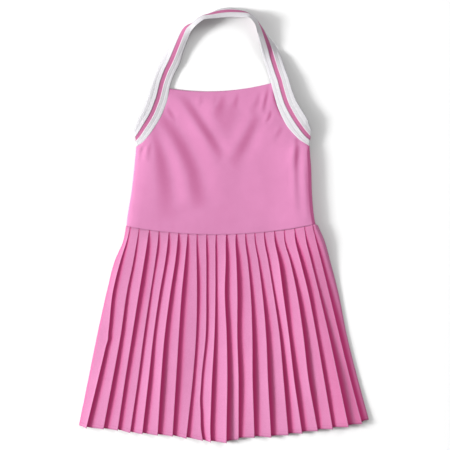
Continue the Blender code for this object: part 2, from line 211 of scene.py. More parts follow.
def quarter_round(distance, radius):
    """0 at an edge and 1 from the radius inwards, rising as a quarter of an ellipse."""
    return np.sqrt(1 - (1 - np.clip(distance / radius, 0, 1)) ** 2)


def lying_height(to_left, to_right, middle, left_roll, right_roll, low=SIDE_SEAM_Z):
    """Height of a panel between its two side seams: the height in its open middle and a roll
    inside each seam, which is a bell curve past its crest. A quarter ellipse takes it down to
    the low height of each seam."""
    height = middle
    for distance, (lift, crest, _) in ((to_left, left_roll), (to_right, right_roll)):
        height = height + lift * np.exp(-((np.maximum(distance - crest, 0) / ROLL_WIDTH) ** 2))
    sides = quarter_round(to_left, left_roll[2]) * quarter_round(to_right, right_roll[2])
    return low + (height - low) * sides


def soft_drop(x, y, drag, pieces=18):
    """One drag line: minus d times a bell curve of d, where d is the distance from the path in
    half widths, positive on its right in this view. The path is a parabola through its three
    points, taken as short straight pieces, and the height fades in and out along it as a power
    of half a sine wave."""
    x1, y1, x2, y2, x3, y3, start_width, end_width, drop = drag
    along = np.linspace(0, 1, pieces + 1)
    first = (1 - along) * (1 - 2 * along)
    second = 4 * along * (1 - along)
    third = along * (2 * along - 1)
    path = np.array(((x1, x2, x3), (y1, y2, y3))) @ np.stack([first, second, third])
    nearest = np.full(x.shape, np.inf)
    height = np.zeros(x.shape)
    for piece in range(pieces):
        start, end = path[:, piece], path[:, piece + 1]
        run = end - start
        length = np.hypot(*run)
        part = np.clip(((x - start[0]) * run[0] + (y - start[1]) * run[1]) / length**2, 0, 1)
        away_x = x - start[0] - part * run[0]
        away_y = y - start[1] - part * run[1]
        away = np.hypot(away_x, away_y)
        side = np.sign(run[0] * away_y - run[1] * away_x)
        place = (piece + part) / pieces
        width = start_width + (end_width - start_width) * place
        across = away / width
        bell = -side * across * np.exp(0.5 - across**2 / 2)
        here = drop / 2 * bell * np.sin(np.pi * place) ** DRAG_FADE
        closer = away < nearest
        nearest = np.where(closer, away, nearest)
        height = np.where(closer, here, height)
    return height


def sewn_heights(lower, armhole):
    """Height of the bodice's edge up one side: level along the seam, with half a bell curve up
    to the underarm, and then the heights in the armhole's table."""
    near_underarm = np.exp(-(((lower[-1, 3] - lower[:, 3]) / UNDERARM_RISE) ** 2))
    seam = SIDE_SEAM_Z + (armhole[0, 2] - SIDE_SEAM_Z) * near_underarm
    return np.concatenate([seam, armhole[:, 2]])[:, None]


def chest_height(x, y, above_waist, below_neck):
    """Height of the bodice away from its sides: level, stepped by the drag lines, puckered above
    the waist seam, and eased to the heights of that seam and the neckline by bell curves."""
    height = np.full(x.shape, CHEST_Z)
    for drag in DRAGS:
        height += soft_drop(x, y, drag)
    puckers = np.sin(x / PUCKER_WAVES[0]) + SECOND_WAVE * np.sin(x / PUCKER_WAVES[1] + 1)
    height += PUCKER_HEIGHT * puckers * np.exp(-above_waist / WAIST_FADE)
    height += (WAIST_Z - height) * np.exp(-((above_waist / WAIST_FADE) ** 2))
    height += (NECKLINE_Z - height) * np.exp(-((below_neck / NECKLINE_FADE) ** 2))
    return height


def front_bodice_grid():
    """Rows run from seam to seam, then from armhole to armhole, and sag as parabolas. The outer
    face has the chest's height, is lifted by the two rolls and rounded down to its sewn sides,
    and turns down in a quarter ellipse at the waist seam and the neckline."""
    lower = table_rows(SIDE_ROWS, LOWER_ROWS)
    left = table_rows(LEFT_ARMHOLE, UPPER_ROWS + 1)[1:]
    right = table_rows(RIGHT_ARMHOLE, UPPER_ROWS + 1)[1:]
    upper_sag = NECKLINE_SAG * np.linspace(0, 1, UPPER_ROWS) ** SAG_POWER
    ends = np.vstack([lower, np.column_stack([left[:, :2], right[:, :2], upper_sag])])
    left_x, left_y, right_x, right_y, sag = ends.T[:, :, None]
    even = np.linspace(-1, 1, BODICE_COLUMNS)[None, :]
    across = 0.5 + 0.5 * np.sign(even) * (1 - (1 - np.abs(even)) ** EDGE_CROWDING)
    x = left_x + (right_x - left_x) * across
    y = left_y + (right_y - left_y) * across - 4 * sag * across * (1 - across)
    above_waist = y - waist_seam_y(x)
    below_neck = y[-1:] - y
    sewn = sewn_heights(lower, left) * (1 - across) + sewn_heights(lower, right) * across
    rolled = 1 - smooth_step((y - ROLL_FADE_START) / (ROLL_FADE_END - ROLL_FADE_START))
    z = lying_height(
        x - left_x, right_x - x, chest_height(x, y, above_waist, below_neck),
        (LEFT_ROLL[0] * rolled, *LEFT_ROLL[1:]), (RIGHT_ROLL[0] * rolled, *RIGHT_ROLL[1:]), sewn,
    )
    for distance, (drop, radius) in ((above_waist, WAIST_TURN), (below_neck, NECKLINE_TURN)):
        z -= drop * (1 - quarter_round(distance, radius))
    return np.stack([x, y, z], axis=-1)


def painted_fold_shade(grid):
    """Painted shade: how deep the colour is in the folds, where shade falls and light bounces
    within the cloth: in proportion to the slope away from the lamp on the left, up to the
    deepest."""
    slope = np.gradient(grid[..., 2], axis=1) / np.gradient(grid[..., 0], axis=1)
    return np.clip(-slope * FOLD_PAINTED_SHADE, 0, DEEPEST_PAINTED_FOLD_SHADE)


def sheet_lengths(grid):
    """Lengths along the cloth, across from its middle and up from its lowest row, which its
    weave follows: sums of the distances between neighbouring points."""
    across = np.linalg.norm(np.diff(grid, axis=1), axis=-1)
    up = np.linalg.norm(np.diff(grid, axis=0), axis=-1)
    u = np.hstack([np.zeros((len(grid), 1)), np.cumsum(across, axis=1)])
    v = np.vstack([np.zeros((1, grid.shape[1])), np.cumsum(up, axis=0)])
    return np.stack([u - u[:, -1:] / 2, v], axis=-1)


def mesh_of(name, points, faces, lengths, finish, shade=None):
    """A mesh in metres with its cloth lengths as a UV map in metres, and a painted shade from
    0 to 1 at each point where the finish asks for one."""
    mesh = bpy.data.meshes.new(name)
    mesh.from_pydata((points.reshape(-1, 3) * MM).tolist(), [], faces.tolist())
    layer = mesh.uv_layers.new(name="cloth")
    layer.data.foreach_set("uv", (lengths.reshape(-1, 2)[faces.reshape(-1)] * MM).reshape(-1))
    if shade is not None:
        attribute = mesh.attributes.new("shade", "FLOAT", "POINT")
        attribute.data.foreach_set("value", shade.reshape(-1).astype(np.float32))
    mesh.materials.append(finish.material)
    mesh.shade_smooth()
    piece = bpy.data.objects.new(name, mesh)
    scene.collection.objects.link(piece)
    return piece


def grid_faces(rows, columns):
    """Quads between the points of a grid, facing up when columns run right and rows away."""
    number = np.arange(rows * columns).reshape(rows, columns)
    corners = (number[:-1, :-1], number[:-1, 1:], number[1:, 1:], number[1:, :-1])
    return np.stack(corners, axis=-1).reshape(-1, 4)


def panel(name, grid, wall, finish, node, shade=None):
    """A panel of cloth that stands for its CAD node, with its wall under the outer face."""
    faces = grid_faces(*grid.shape[:2])
    piece = mesh_of(name, grid, faces, sheet_lengths(grid), finish, shade)
    solid = piece.modifiers.new("cloth wall", "SOLIDIFY")
    solid.thickness = wall * MM
    solid.offset = -1.0
    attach(piece, "root")
    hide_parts(node)
    return piece


class Value:
    """A socket of a finish's node tree. Arithmetic on it adds Math nodes."""

    def __init__(self, finish, socket):
        self.finish = finish
        self.socket = socket

    def math(self, operation, *others):
        values = dict(enumerate((self, *others)))
        return self.finish.node("ShaderNodeMath", {"operation": operation}, values)

    def __add__(self, other):
        return self.math("ADD", other)

    __radd__ = __add__

    def __mul__(self, other):
        return self.math("MULTIPLY", other)

    __rmul__ = __mul__

    def __sub__(self, other):
        return self.math("SUBTRACT", other)

    def __rsub__(self, other):
        return self * -1.0 + other

    def clamped(self):
        """Held between 0 and 1."""
        return self.math("MINIMUM", 1.0).math("MAXIMUM", 0.0)


class Finish:
    """A material under construction: its Principled shader and one way to add any other node."""

    def __init__(self, name, **constants):
        self.material = bpy.data.materials.new(name)
        self.material.use_nodes = True
        self.shader = self.material.node_tree.nodes["Principled BSDF"]
        for socket, value in constants.items():
            self.shader.inputs[socket.replace("_", " ")].default_value = value

    def node(self, kind, settings, values, output=0):
        """Add a node: its settings, then what its sockets hold or are linked to."""
        made = self.material.node_tree.nodes.new(kind)
        for setting, value in settings.items():
            setattr(made, setting, value)
        for socket, value in values.items():
            self.feed(made.inputs[socket], value)
        return Value(self, made.outputs[output])

    def feed(self, socket, value):
        """Link a value to an input, or set the input to a constant."""
        if isinstance(value, Value):
            self.material.node_tree.links.new(value.socket, socket)
        else:
            socket.default_value = value

    def cloth_place(self):
        """Lengths along the cloth in metres: across, and up."""
        place = self.node("ShaderNodeUVMap", {"uv_map": "cloth"}, {})
        across = self.node("ShaderNodeSeparateXYZ", {}, {0: place}, 0)
        return across, self.node("ShaderNodeSeparateXYZ", {}, {0: place}, 1)

    def mottle(self, size, detail=3.0):
        """Noise from 0 to 1 in the piece's own space, whose spots are about this many
        millimetres across."""
        place = self.node("ShaderNodeTexCoord", {}, {}, 3)
        values = {"Vector": place, "Scale": 1 / (size * MM), "Detail": detail}
        return self.node("ShaderNodeTexNoise", {}, values)

    def waves(self, along, pitch):
        """A sine wave from -1 to 1 with this pitch in millimetres."""
        return (along * (2 * np.pi / (pitch * MM))).math("SINE")

    def mix(self, share, low, high):
        """From one colour to the other as the share goes from 0 to 1. The numbers are the
        places of the colour sockets on a Mix node."""
        values = {0: share, 6: low, 7: high}
        return self.node("ShaderNodeMix", {"data_type": "RGBA"}, values, 2)

    def with_painted_shade(self, colour, deep):
        """Painted shade: a colour that goes to a deeper one as the piece's painted shade
        goes from 0 to 1.
        """
        depth = self.node("ShaderNodeAttribute", {"attribute_name": "shade"}, {}, 2)
        return self.mix(depth, colour, deep)

    def bump(self, height, depth):
        """A bump of this depth in millimetres for a height from 0 to 1."""
        values = {"Height": height, "Distance": depth * MM, "Strength": 1.0}
        return self.node("ShaderNodeBump", {}, values)

    def dye(self, colour, relief):
        """The finish's colour and its bump, which are all that changes over a surface."""
        self.feed(self.shader.inputs["Base Color"], colour)
        self.feed(self.shader.inputs["Normal"], relief)
        return self


KNIT_WALE = 0.9          # width of a column of stitches
KNIT_COURSE = 0.7        # height of a row of stitches
KNIT_RELIEF = 0.04
KNIT_DARK = (0.428, 0.150, 0.288, 1)
KNIT_LIGHT = (0.486, 0.181, 0.338, 1)
# painted shade: the knit's colour deep in a fold
KNIT_PAINTED_SHADE = (0.50, 0.045, 0.20, 1)


def pink_knit():
    """Double knit: wales crossed by courses, as the product of two sine waves, very shallow.
    Its tone is mostly a faint broad mottle, and its slight sheen is the nap of the yarn.
    Painted shade deepens its colour in the folds."""
    finish = Finish(
        "pink_knit", Roughness=0.8, Sheen_Weight=0.06, Sheen_Roughness=0.4,
        Sheen_Tint=(1.0, 0.6, 0.85, 1.0), Specular_IOR_Level=0.12,
    )
    across, up = finish.cloth_place()
    stitches = finish.waves(across, KNIT_WALE) * finish.waves(up, KNIT_COURSE) * 0.5 + 0.5
    # the mottles are the yarn's own tone; lighter where the stitches stand up is painted shade
    tone = finish.mottle(26.0) * 0.75 + finish.mottle(1.1, 1.0) * 0.2 + stitches * 0.05
    colour = finish.with_painted_shade(finish.mix(tone, KNIT_DARK, KNIT_LIGHT), KNIT_PAINTED_SHADE)
    return finish.dye(colour, finish.bump(stitches, KNIT_RELIEF))


knit = pink_knit()
front_grid = front_bodice_grid()
# painted shade: the front bodice's colour deepens where its folds slope away from the lamp
bodice_front = panel(
    "bodice_front_cloth", front_grid, BODICE_WALL, knit, "bodice_front", painted_fold_shade(front_grid)
)


# ---- Back bodice and its trim: hidden under the front, flat on the table. The knit panel ends in
# a shallow scoop at underarm height, and the ribbed trim runs along that edge.
BACK_WALL = 0.9
BACK_SCOOP = 12.0        # how far its top edge hangs in the middle
BACK_TRIM_WALL = 1.4
BACK_TRIM_WIDTH = 26.0
INSET = 0.5              # how far the back stays inside the outline of the front
SEAM = 0.3               # room between two pieces along their seam
BACK_ROWS = 40
BACK_COLUMNS = 80
BACK_TRIM_ROWS = 9


def back_top_y(across):
    """The scooped seam between back bodice and back trim: a parabola from side to side."""
    return SIDE_ROWS[-1][1] - 4 * BACK_SCOOP * across * (1 - across)


def back_bodice_grid():
    """A level grid between the side seams, with even rows from the waist seam to the scoop."""
    rows = table_rows(SIDE_ROWS, BACK_ROWS)
    across = np.linspace(0, 1, BACK_COLUMNS)[None, :]
    left = rows[:, 0:1] + INSET
    right = rows[:, 2:3] - INSET
    x = left + (right - left) * across
    up = ((rows[:, 1] - rows[0, 1]) / (rows[-1, 1] - rows[0, 1]))[:, None]
    bottom = waist_seam_y(x[:1])
    y = bottom + (back_top_y(across) - SEAM - bottom) * up
    return np.stack([x, y, np.full(x.shape, BACK_WALL)], axis=-1)


def back_trim_grid():
    """A level strip above the scoop. Its ends lie under the ends of the halter trim."""
    across = np.linspace(0, 1, BACK_COLUMNS)[None, :]
    up = np.linspace(0, 1, BACK_TRIM_ROWS)[:, None]
    left_end = LEFT_ARMHOLE[0]
    right_end = RIGHT_ARMHOLE[0]
    left = left_end[0] + (left_end[3] - left_end[0]) * up + INSET
    right = right_end[0] + (right_end[3] - right_end[0]) * up - INSET
    x = left + (right - left) * across
    y = back_top_y(across) + (BACK_TRIM_WIDTH - SEAM) * up
    return np.stack([x, y, np.full(x.shape, BACK_TRIM_WALL)], axis=-1)


STRIPE_WIDTH = 6.6
STRIPE_BLUR = 0.5        # over which its colour ends at each side
RIB_PITCH = 1.5
RIB_RELIEF = 0.18
WHITE_DARK = (0.39, 0.38, 0.40, 1)
WHITE_LIGHT = (0.50, 0.49, 0.51, 1)
STRIPE_DARK = (0.31, 0.08, 0.17, 1)
STRIPE_LIGHT = (0.39, 0.115, 0.235, 1)


def ribbed_trim(name, middle):
    """White rib knit with one pink stripe: the ribs are a sine wave along the band, and the
    stripe follows its middle, which is this many millimetres up the cloth."""
    finish = Finish(
        name, Roughness=0.8, Sheen_Weight=0.05, Sheen_Roughness=0.5, Specular_IOR_Level=0.2,
    )
    across, up = finish.cloth_place()
    from_middle = (up - middle * MM).math("ABSOLUTE")
    stripe = (STRIPE_WIDTH / 2 * MM - from_middle) * (1 / (STRIPE_BLUR * MM)) + 0.5
    ribs = finish.waves(across, RIB_PITCH) * 0.5 + 0.5
    # the mottle is the yarn's own tone; lighter rib crests and darker hollows are painted shade
    tone = ribs * 0.6 + finish.mottle(2.0) * 0.4
    white = finish.mix(tone, WHITE_DARK, WHITE_LIGHT)
    pink = finish.mix(tone, STRIPE_DARK, STRIPE_LIGHT)
    return finish.dye(finish.mix(stripe.clamped(), white, pink), finish.bump(ribs, RIB_RELIEF))


bodice_back = panel("bodice_back_cloth", back_bodice_grid(), BACK_WALL, knit, "bodice_back")

back_rib = ribbed_trim("white_rib_back", BACK_TRIM_WIDTH / 2)
back_trim = panel("back_trim_rib", back_trim_grid(), BACK_TRIM_WALL, back_rib, "back_trim")


# ---- Skirt: matt pink twill in 21 knife pleats, all turned the same way. Each pleat is pressed
# into a sharp edge on its right, and its cloth turns back under that edge to the next valley. It
# is sewn to the bodice at the waist, where the pleats lie flat, and they open towards the hem.
PLEAT_WALL = 0.6
SKIRT_ROWS = 72
VALLEY_Z = 3.2           # outer face in the valleys, over the back skirt
WAIST_LIFT = 2.1         # how much higher the valleys lie at the waist
LIFT_FADE = 70.0         # how far down that lift has mostly gone
SKIRT_ROUND = (12.0, 4.0)  # how far in from its left and right seams it is still rounding up
RIGHT_SLOPE_WIDTH = 40.0  # below the waist the right side slopes up this far in from its seam
RIGHT_SLOPE_HEIGHT = 4.2
RIGHT_SLOPE_FADE = 1.5   # and comes down again, mostly within this many times that width
HEM_CORNER_Y = -318.0    # the hem's right corner lifts a little off the table
HEM_CORNER_LIFT = 1.6
HEM_CORNER_REACH = 45.0
# Each pressed edge, read at these y: its x at each of them, then the y of its hem. The first and
# the last row are the side seams.
LEVELS = (-0.5, -24.5, -56.5, -104.5, -176.5, -248.5, -312.5)
PLEAT_EDGES = (
    (-157.0, -161.5, -175.0, -187.5, -203.5, -218.0, -231.0, -320.0),
    (-150.5, -156.5, -166.5, -178.5, -187.0, -203.0, -218.5, -325.0),
    (-136.5, -140.5, -146.0, -156.0, -166.5, -179.5, -191.5, -326.5),
    (-120.5, -123.5, -128.5, -136.5, -148.0, -159.5, -169.0, -328.5),
    (-105.5, -107.0, -111.0, -118.5, -129.5, -139.0, -148.5, -332.5),
    (-89.5, -91.0, -95.0, -103.5, -114.0, -122.0, -129.5, -334.5),
    (-74.0, -75.5, -79.0, -86.5, -96.0, -102.0, -106.0, -336.5),
    (-59.0, -60.5, -63.5, -68.5, -73.5, -78.0, -82.0, -338.0),
    (-44.5, -45.5, -45.0, -44.5, -46.0, -51.5, -58.5, -341.5),
    (-29.0, -30.0, -29.5, -29.5, -30.5, -37.5, -38.5, -345.0),
    (-13.5, -15.0, -15.0, -15.0, -16.5, -20.5, -23.0, -347.5),
    (2.5, 1.5, 1.5, 0.0, 3.0, 4.0, 3.0, -348.5),
    (18.0, 17.0, 18.5, 20.0, 20.0, 22.0, 22.0, -343.0),
    (32.5, 32.5, 36.5, 41.0, 44.0, 44.5, 46.5, -340.0),
    (47.0, 47.5, 53.0, 59.5, 66.0, 69.0, 72.5, -340.0),
    (62.0, 63.0, 69.0, 77.0, 87.5, 94.0, 99.5, -336.0),
    (78.0, 79.5, 86.0, 92.5, 102.5, 111.0, 120.5, -333.5),
    (94.0, 95.0, 104.0, 114.5, 125.5, 134.0, 145.5, -329.5),
    (110.5, 112.5, 120.5, 132.5, 146.5, 159.0, 170.0, -326.5),
    (126.5, 129.5, 137.5, 149.5, 166.5, 182.0, 195.5, -323.0),
    (140.0, 145.0, 153.5, 165.5, 183.0, 201.0, 218.0, -318.0),
    (149.5, 160.0, 169.0, 181.5, 196.0, 214.0, 231.5, -311.0),
)
# Width of the dark gap to the right of each pressed edge, read at these y. At the first, just
# under the waist, they all have the same width, and each row gives the other five.
GAP_LEVELS = (-6.0, -32.0, -80.0, -176.0, -256.0, -320.0)
WAIST_GAP = 0.9
GAPS = (
    (3.5, 6.5, 7.0, 9.0, 10.0),
    (3.0, 4.5, 7.0, 9.0, 8.5),
    (6.0, 8.5, 8.0, 7.5, 7.5),
    (4.0, 3.5, 5.0, 5.0, 6.0),
    (4.5, 5.0, 5.5, 8.0, 8.5),
    (5.5, 7.0, 9.0, 11.0, 9.5),
    (4.5, 8.0, 8.5, 9.5, 8.5),
    (3.0, 5.5, 5.0, 5.5, 7.0),
    (3.5, 4.0, 4.5, 4.5, 5.5),
    (3.0, 3.5, 6.0, 8.5, 8.5),
    (5.0, 7.5, 8.5, 11.5, 14.5),
    (5.0, 9.0, 8.5, 9.5, 8.0),
    (3.5, 5.0, 8.5, 11.0, 9.0),
    (2.5, 4.5, 9.5, 11.5, 10.0),
    (3.5, 3.5, 6.0, 8.5, 9.0),
    (5.0, 10.0, 7.5, 10.0, 9.0),
    (3.0, 6.0, 11.0, 12.0, 7.5),
    (6.0, 8.5, 7.0, 8.0, 7.0),
    (4.5, 4.5, 7.0, 10.5, 11.0),
    (4.0, 5.5, 9.0, 8.0, 9.0),
)
# Bends of a pressed edge between its levels. The edges count from 0 at the left side seam, and
# the shift is how far an edge goes to the right in the middle of its bend.
# edge, middle, shift, half_length
BENDS = (
    (1, -183.0, 1.4, 8.0),
    (9, -280.0, -1.3, 18.0),
    (9, -350.0, 4.0, 18.0),
    (10, -350.0, 1.8, 18.0),
)
EDGE_SHIFT = 1.1         # the pressed edges lie this much right of their table
LIGHT_SLOPE = 0.37       # height of an edge over the width of its dark gap on a level face
HIGHEST_EDGE = 8.0       # over its valley
LEFT_NOTCH = 2.2         # how far the hem steps up past an edge, at the left and at the right
RIGHT_NOTCH = 4.2
WAIST_UNDERLAP = 0.7     # how far the cloth turns back under its edge
HEM_UNDERLAP = 2.6
WAIST_OVERLAP = 0.5      # how far the skirt goes under the edge of the bodice
CORNER_FALL = 0.5        # slope of its top edge where it stands out past the bodice at the right
FACE_POINTS = 11
FACE_HOLLOW = 0.12       # how much a face hangs in its middle, as a share of its edge's height
EDGE_RADIUS = 0.7        # of the pressed edges, whose points are at these degrees from upright
EDGE_ANGLES = (-20.0, 10.0, 45.0, 85.0, 125.0)
# Painted shade: the colour is deeper in the valleys, as far as the dark gap beside them goes,
# on the right side, which turns away from the lamp, and in a rim along the left seam, which
# turns under.
WIDEST_VALLEY_SHADE = 9.0        # the furthest that a valley's painted shade goes
WAIST_SIDE_SHADE = 0.14  # how deep the painted shade is at the right seam, at the waist and at the hem
HEM_SIDE_SHADE = 0.35
SIDE_SHADE_REACH = 60.0        # how far that goes in from the seam
RIM_SHADE_DEPTH = 0.45
RIM_SHADE_WIDTH = 2.4


def edge_x(edge, y):
    """x of a pressed edge at y: a cubic through its levels, and its bends as bell curves."""
    x = through(-np.array(LEVELS), PLEAT_EDGES[edge][:-1], -y)
    if 0 < edge < len(PLEAT_EDGES) - 1:
        x = x + EDGE_SHIFT
    for bent, middle, shift, half_length in BENDS:
        if bent == edge:
            x = x + shift * np.exp(-(((y - middle) / half_length) ** 2))
    return x


def gap_width(edge, y):
    """Width at y of the dark gap right of an edge: a cubic through the gap levels."""
    return through(-np.array(GAP_LEVELS), (WAIST_GAP, *GAPS[edge - 1]), -y)


def edge_rises():
    """Height of each edge over its valley at the gap levels. The low lamp at the left throws an
    edge's shadow up the next face, so a gap g needs a rise of g times the sum of the light's
    slope and that face's own slope, up to the highest edge. It is worked out leftwards from the
    right side seam, which has none."""
    levels = np.array(GAP_LEVELS)
    rises = [np.zeros(len(levels))]
    for edge in range(len(GAPS), 0, -1):
        width = edge_x(edge + 1, levels) - edge_x(edge, levels)
        gap = np.array((WAIST_GAP, *GAPS[edge - 1]))
        rises.append(np.minimum(gap * (LIGHT_SLOPE + rises[-1] / width), HIGHEST_EDGE))
    return rises[::-1]


def edge_rise(rises, edge, y):
    """Height of an edge over its valley at y: a cubic through the gap levels."""
    if edge > len(GAPS):
        return np.zeros_like(y)
    return through(-np.array(GAP_LEVELS), rises[edge - 1], -y)


def pleat_columns(pleat, part, hem_lift, down):
    """x and y of points from waist to hem on one pleat, a share `part` of the way from its left
    edge to its right edge. The top edge follows the waist seam as far as the bodice goes, and
    falls in a straight line past it."""
    top_x = edge_x(pleat, 0.0) * (1 - part) + edge_x(pleat + 1, 0.0) * part
    past_bodice = np.maximum(top_x - SIDE_ROWS[0][2], 0)
    top = waist_seam_y(top_x - past_bodice) + WAIST_OVERLAP - CORNER_FALL * past_bodice
    hem = PLEAT_EDGES[pleat][-1] * (1 - part) + PLEAT_EDGES[pleat + 1][-1] * part + hem_lift
    y = top + (hem - top) * down
    low, high = edge_x(pleat, y), edge_x(pleat + 1, y)
    return low + (high - low) * part, y


def valley_height(x, y):
    """Height of the outer face in the valleys. At the waist it has the rolls of the bodice, and
    a bell curve fades it into a level face. The right side of that slopes up from its seam as
    a cubic step, lifts at the hem's corner in a bell curve, and rounds down at both seams."""
    at_waist_share = np.exp(-((np.minimum(y, 0) / LIFT_FADE) ** 2))
    to_left = np.maximum(x - edge_x(0, y), 0)
    to_right = np.maximum(edge_x(len(PLEAT_EDGES) - 1, y) - x, 0)
    at_waist = lying_height(to_left, to_right, VALLEY_Z + WAIST_LIFT, LEFT_ROLL, RIGHT_ROLL)
    inside = to_right / RIGHT_SLOPE_WIDTH
    past_slope = np.maximum(inside - 1, 0)
    slope = RIGHT_SLOPE_HEIGHT * smooth_step(inside)
    slope = slope * np.exp(-((past_slope / RIGHT_SLOPE_FADE) ** 2))
    corner = np.exp(-(inside**2) - ((y - HEM_CORNER_Y) / HEM_CORNER_REACH) ** 2)
    below = VALLEY_Z + slope + HEM_CORNER_LIFT * corner
    rim = quarter_round(to_left, SKIRT_ROUND[0]) * quarter_round(to_right, SKIRT_ROUND[1])
    below = SIDE_SEAM_Z + (below - SIDE_SEAM_Z) * rim
    return at_waist * at_waist_share + below * (1 - at_waist_share)


def pleat_painted_shade(pleat, x, y, down):
    """Painted shade on a pleat's face: full in the dark gap at its left, past which it fades as a
    steep bell curve. The first face has a fainter bell curve along its seam instead, where it
    turns under. Near the right seam, which turns away from the lamp, the painted shade is at
    least a broad bell curve that grows towards the hem."""
    beside = np.maximum(x - edge_x(pleat, y), 0)
    if pleat == 0:
        shade = RIM_SHADE_DEPTH * np.exp(-((beside / RIM_SHADE_WIDTH) ** 2))
    else:
        deep = np.minimum(gap_width(pleat, y), WIDEST_VALLEY_SHADE)
        shade = np.exp(-((beside / deep) ** 3))
    side_shade = WAIST_SIDE_SHADE + (HEM_SIDE_SHADE - WAIST_SIDE_SHADE) * down
    to_right = edge_x(len(PLEAT_EDGES) - 1, y) - x
    return np.maximum(shade, side_shade * np.exp(-((to_right / SIDE_SHADE_REACH) ** 2)))


def pleat_face(pleat, rises, down):
    """Points and painted shades of one face. It rises in a straight line, hollowed by half a sine
    wave, from the valley under the edge at its left to its own edge at the right."""
    part = np.linspace(0, 1, FACE_POINTS)[None, :]
    notch = 0.0
    underlap = 0.0
    if pleat > 0:
        notch = LEFT_NOTCH + (RIGHT_NOTCH - LEFT_NOTCH) * pleat / (len(PLEAT_EDGES) - 1)
        underlap = WAIST_UNDERLAP + (HEM_UNDERLAP - WAIST_UNDERLAP) * down
    x, y = pleat_columns(pleat, part, notch * (1 - part), down)
    x = x - underlap * (1 - part)
    rise = edge_rise(rises, pleat + 1, y)
    z = valley_height(x, y) + rise * (part - FACE_HOLLOW * np.sin(np.pi * part))
    return np.stack([x, y, z], axis=-1), pleat_painted_shade(pleat, x, y, down)


def pressed_edge(pleat, rises, down):
    """Points and painted shades of the edge at the right of a face: a small arc that turns back
    under it, with a radius of at most a third of its height, and painted shade that deepens as
    it turns."""
    angles = np.radians(EDGE_ANGLES)[None, :]
    x, y = pleat_columns(pleat, np.ones_like(angles), 0.0, down)
    rise = edge_rise(rises, pleat + 1, y)
    radius = np.minimum(EDGE_RADIUS, rise / 3)
    z = valley_height(x, y) + rise - radius + radius * np.cos(angles)
    x = x - radius + radius * np.sin(angles)
    return np.stack([x, y, z], axis=-1), np.clip(angles / np.pi, 0, 1) * np.ones_like(y)


def front_skirt_grid():
    """A saw-tooth of knife pleats: each face without its last column, then its pressed edge.
    The last face goes right to the side seam. The painted shade comes with the points."""
    down = np.linspace(0, 1, SKIRT_ROWS)[:, None]
    rises = edge_rises()
    columns = []
    shades = []
    for pleat in range(len(GAPS)):
        face, face_painted_shade = pleat_face(pleat, rises, down)
        edge, edge_painted_shade = pressed_edge(pleat, rises, down)
        columns += [face[:, :-1], edge]
        shades += [face_painted_shade[:, :-1], edge_painted_shade]
    last_face, last_painted_shade = pleat_face(len(GAPS), rises, down)
    columns.append(last_face)
    shades.append(last_painted_shade)
    return np.concatenate(columns, axis=1)[::-1], np.concatenate(shades, axis=1)[::-1]


TWILL_PITCH = 0.8
TWILL_RELIEF = 0.07
TWILL_DARK = (0.365, 0.120, 0.235, 1)
TWILL_LIGHT = (0.49, 0.190, 0.335, 1)
# painted shade: the twill's colour deep in its valleys and where it turns under
TWILL_PAINTED_SHADE = (0.50, 0.037, 0.17, 1)
THREAD = (0.30, 0.06, 0.16, 1)  # of the row of stitches along the hem
STITCH_Y = 5.5           # up from the hem
STITCH_PITCH = 2.8
STITCH_BLUR = 0.3        # width over which a stitch fades out at its side


def hem_stitches(finish, across, up):
    """1 on the row of stitches above the hem and 0 elsewhere: a line with soft sides times
    dashes, which are a steep sine wave that is more on than off."""
    off_line = (up - STITCH_Y * MM).math("ABSOLUTE")
    line = off_line * (-1 / (STITCH_BLUR * MM)) + 1.6
    dashes = finish.waves(across, STITCH_PITCH) * 3 + 1.8
    return line.clamped() * dashes.clamped()


def pink_twill():
    """Matt twill: fine diagonal ribs, a sine wave of the sum of both lengths, over a fine uneven
    grain and a broad mottle, with painted shade deepening it in the valleys. The hem is
    stitched in a darker pink and pulls in a little."""
    finish = Finish("pink_twill", Roughness=0.85, Specular_IOR_Level=0.12)
    across, up = finish.cloth_place()
    ribs = finish.waves(across + up, TWILL_PITCH) * 0.5 + 0.5
    grain = finish.mottle(2.0, 2.0)
    # the mottle and grain are the cloth's own tone; lighter on the twill's ribs is painted shade
    tone = finish.mottle(30.0) * 0.3 + grain * 0.5 + ribs * 0.2
    colour = finish.with_painted_shade(finish.mix(tone, TWILL_DARK, TWILL_LIGHT), TWILL_PAINTED_SHADE)
    hem = hem_stitches(finish, across, up)
    colour = finish.mix(hem * 0.5, colour, THREAD)
    relief = ribs * 0.6 + grain * 0.4 - hem * 2.0
    return finish.dye(colour, finish.bump(relief, TWILL_RELIEF))


BACK_PLEAT_WALL = 0.6
BACK_RISE = 0.6          # of each pleat from its left to its right
BACK_UNDERLAP = 1.0      # how far it goes on over the next one
BACK_HEM_LIFT = 2.0      # how far up its hem stays behind the front hem
BACK_PARTS = (0.0, 0.35, 0.7, 1.0)


def back_skirt_grid():
    """The same pleats pressed flat against the table, inside the outline of the front. Its
    outer face is the lower one, so its columns run from right to left."""
    down = np.linspace(0, 1, BACK_ROWS)[:, None]
    part = np.array(BACK_PARTS)[None, :]
    last = len(GAPS)
    columns = []
    for pleat in range(last + 1):
        x, y = pleat_columns(pleat, part, BACK_HEM_LIFT + LEFT_NOTCH * part, down)
        inwards = INSET * ((pleat == 0) * (1 - part) - (pleat == last) * part)
        onwards = BACK_UNDERLAP * part * (pleat < last)
        z = BACK_RISE * part * np.ones_like(x)
        columns.append(np.stack([x + inwards + onwards, y, z], axis=-1))
    return np.concatenate(columns, axis=1)[::-1, ::-1]


twill = pink_twill()
# the pleats come with painted shade for their valleys, turns, right side and left seam
pleats_grid, pleats_painted_shade = front_skirt_grid()
skirt_front = panel(
    "skirt_front_cloth", pleats_grid, PLEAT_WALL, twill, "skirt_front", pleats_painted_shade
)

